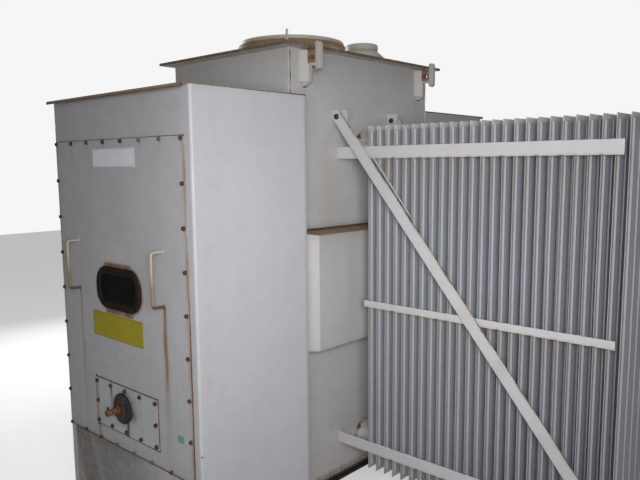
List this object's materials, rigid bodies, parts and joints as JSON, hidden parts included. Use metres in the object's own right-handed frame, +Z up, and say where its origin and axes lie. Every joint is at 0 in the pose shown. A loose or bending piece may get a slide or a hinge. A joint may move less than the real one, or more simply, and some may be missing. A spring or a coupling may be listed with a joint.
{
  "type": "power transformer",
  "caption": "Liquid-filled power transformer: a tank with a front terminal cabinet, a rear chamber and plate radiator banks on both sides.",
  "frame": {"origin": "on the floor, in the middle of the outer dimensions", "axes": "+Z up, +X towards the right-hand radiator bank, +Y from the front cabinet to the rear chamber"},
  "size_m": [3.397, 2.3709, 2.2786],
  "materials": {
    "paint": "weathered semi-gloss paint",
    "pale_paint": "weathered paint with rusty edges",
    "radiator_paint": "weathered paint over pressed sheet",
    "rusted_steel": "rusted",
    "rubber": "aged matte",
    "glass": "dark, dusty",
    "white_plate": "bare plate, satin",
    "yellow_plate": "bare plate, satin",
    "dark_steel": "dull, dirty"
  },
  "bodies": {
    "base": {"cabinet_back": "paint", "cabinet_fascia": "paint", "cabinet_left_side": "paint", "cabinet_right_side": "paint", "cabinet_roof": "paint", "cabinet_skirt": "paint", "cover_panel": "paint", "front_strap_left": "pale_paint", "front_strap_right": "pale_paint", "handle_left": "pale_paint", "handle_right": "pale_paint", "lifting_lug_front_left": "paint", "lifting_lug_front_right": "paint", "lifting_lug_rear_left": "paint", "lifting_lug_rear_right": "paint", "lower_front_bar_left": "pale_paint", "lower_front_bar_right": "pale_paint", "lower_rear_bar_left": "pale_paint", "lower_rear_bar_right": "pale_paint", "lower_valve_left": "pale_paint", "lower_valve_right": "pale_paint", "manhole_collar": "pale_paint", "manhole_cover": "pale_paint", "notice_plate": "yellow_plate", "operator_plate": "paint", "radiator_bank_left": "radiator_paint", "radiator_bank_right": "radiator_paint", "rear_chamber": "paint", "rear_chamber_cover": "paint", "rear_chamber_roof": "paint", "rear_strap_left": "pale_paint", "rear_strap_right": "pale_paint", "relief_turret": "pale_paint", "side_pocket_left": "paint", "side_pocket_right": "paint", "skid_rail_left": "dark_steel", "skid_rail_right": "dark_steel", "tag_plate": "white_plate", "tank_floor": "dark_steel", "tank_front_wall": "paint", "tank_left_wall": "paint", "tank_lid": "paint", "tank_rear_wall": "paint", "tank_right_wall": "paint", "throat_duct": "paint", "upper_front_bar_left": "pale_paint", "upper_front_bar_right": "pale_paint", "upper_rear_bar_left": "pale_paint", "upper_rear_bar_right": "pale_paint", "upper_valve_left": "pale_paint", "upper_valve_right": "pale_paint", "window_gasket": "rubber", "window_glass": "glass"},
    "operator": {"operator_knob": "rusted_steel"}
  },
  "joints": [
    {"name": "operator_turn", "type": "hinge", "parent": "base", "child": "operator", "pos_m": [0.0335, -1.09545, 0.618], "axis": [0, -1, 0], "range_deg": [0, 90]}
  ]
}
